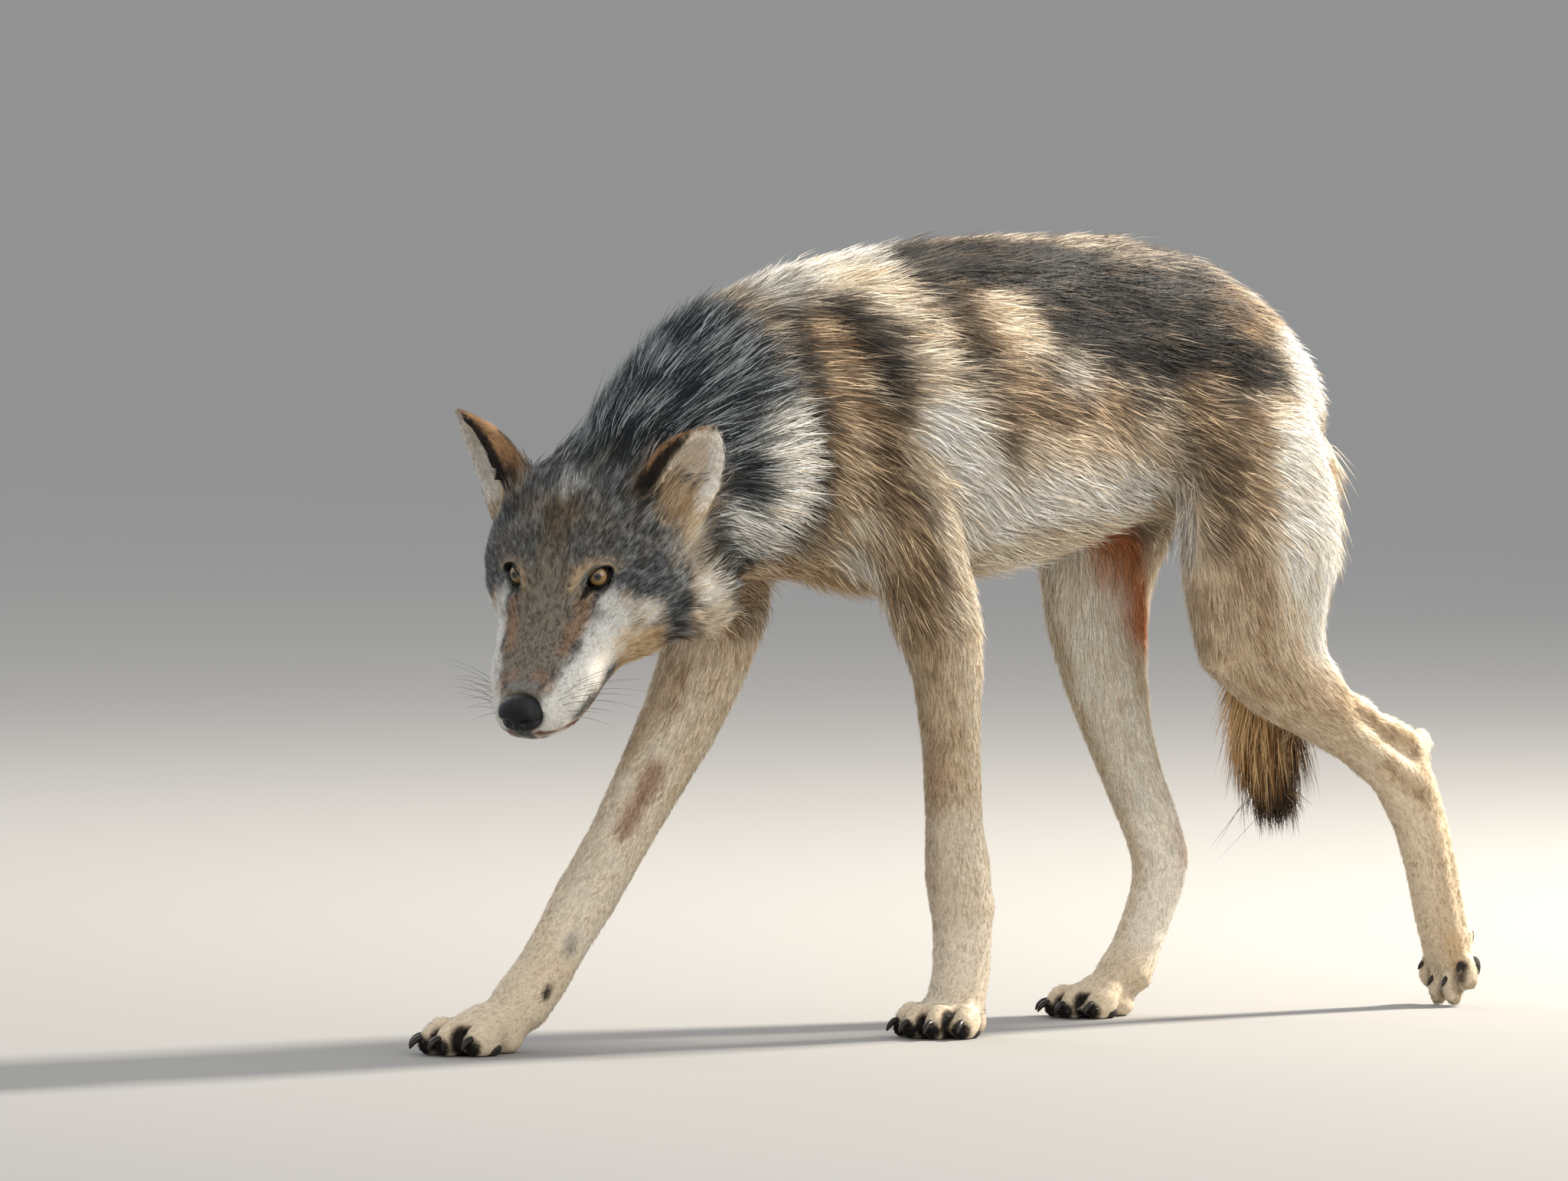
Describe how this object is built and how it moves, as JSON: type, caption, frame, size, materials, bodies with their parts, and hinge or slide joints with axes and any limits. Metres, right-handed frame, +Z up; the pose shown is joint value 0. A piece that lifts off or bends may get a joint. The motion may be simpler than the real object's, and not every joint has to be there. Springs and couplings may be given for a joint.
{
  "type": "wolf",
  "caption": "Life-size grey wolf walking with its head low and turned to its left, one forefoot reaching forward and one hind foot pushing off behind.",
  "frame": {"origin": "middle of the bounding box, on the floor under the wolf", "axes": "+X towards the tail, so the wolf heads to -X; its left side faces -Y; +Z up"},
  "size_m": [1.2438, 0.2798, 0.7688],
  "materials": {
    "grey_fur": "grizzled grey-brown coat",
    "dark_fur": "dark slate mane with pale streaks",
    "face_fur": "short grey-brown face fur",
    "pale_fur": "short cream fur",
    "tail_fur": "rusty bushy fur with a black tip",
    "eye": "wet gloss",
    "nose_leather": "damp pebbled",
    "claw_horn": "satin"
  },
  "bodies": {
    "root": {"head": "face_fur", "lower_jaw": "pale_fur", "neck": "dark_fur", "trunk": "grey_fur", "tail": "tail_fur", "left_eye": "eye", "left_ear": "face_fur", "right_eye": "eye", "right_ear": "face_fur", "nose": "nose_leather", "left_foreleg_upper": "pale_fur", "left_fore_paw": "pale_fur", "left_fore_claw_inner": "claw_horn", "left_fore_claw_mid_inner": "claw_horn", "left_fore_claw_mid_outer": "claw_horn", "left_fore_claw_outer": "claw_horn", "right_foreleg_upper": "pale_fur", "right_fore_paw": "pale_fur", "right_fore_claw_inner": "claw_horn", "right_fore_claw_mid_inner": "claw_horn", "right_fore_claw_mid_outer": "claw_horn", "right_fore_claw_outer": "claw_horn", "left_hindleg_upper": "pale_fur", "left_hind_paw": "pale_fur", "left_hind_claw_inner": "claw_horn", "left_hind_claw_mid_inner": "claw_horn", "left_hind_claw_mid_outer": "claw_horn", "left_hind_claw_outer": "claw_horn", "right_hindleg_upper": "pale_fur", "right_hind_paw": "pale_fur", "right_hind_claw_inner": "claw_horn", "right_hind_claw_mid_inner": "claw_horn", "right_hind_claw_mid_outer": "claw_horn", "right_hind_claw_outer": "claw_horn"}
  },
  "joints": []
}
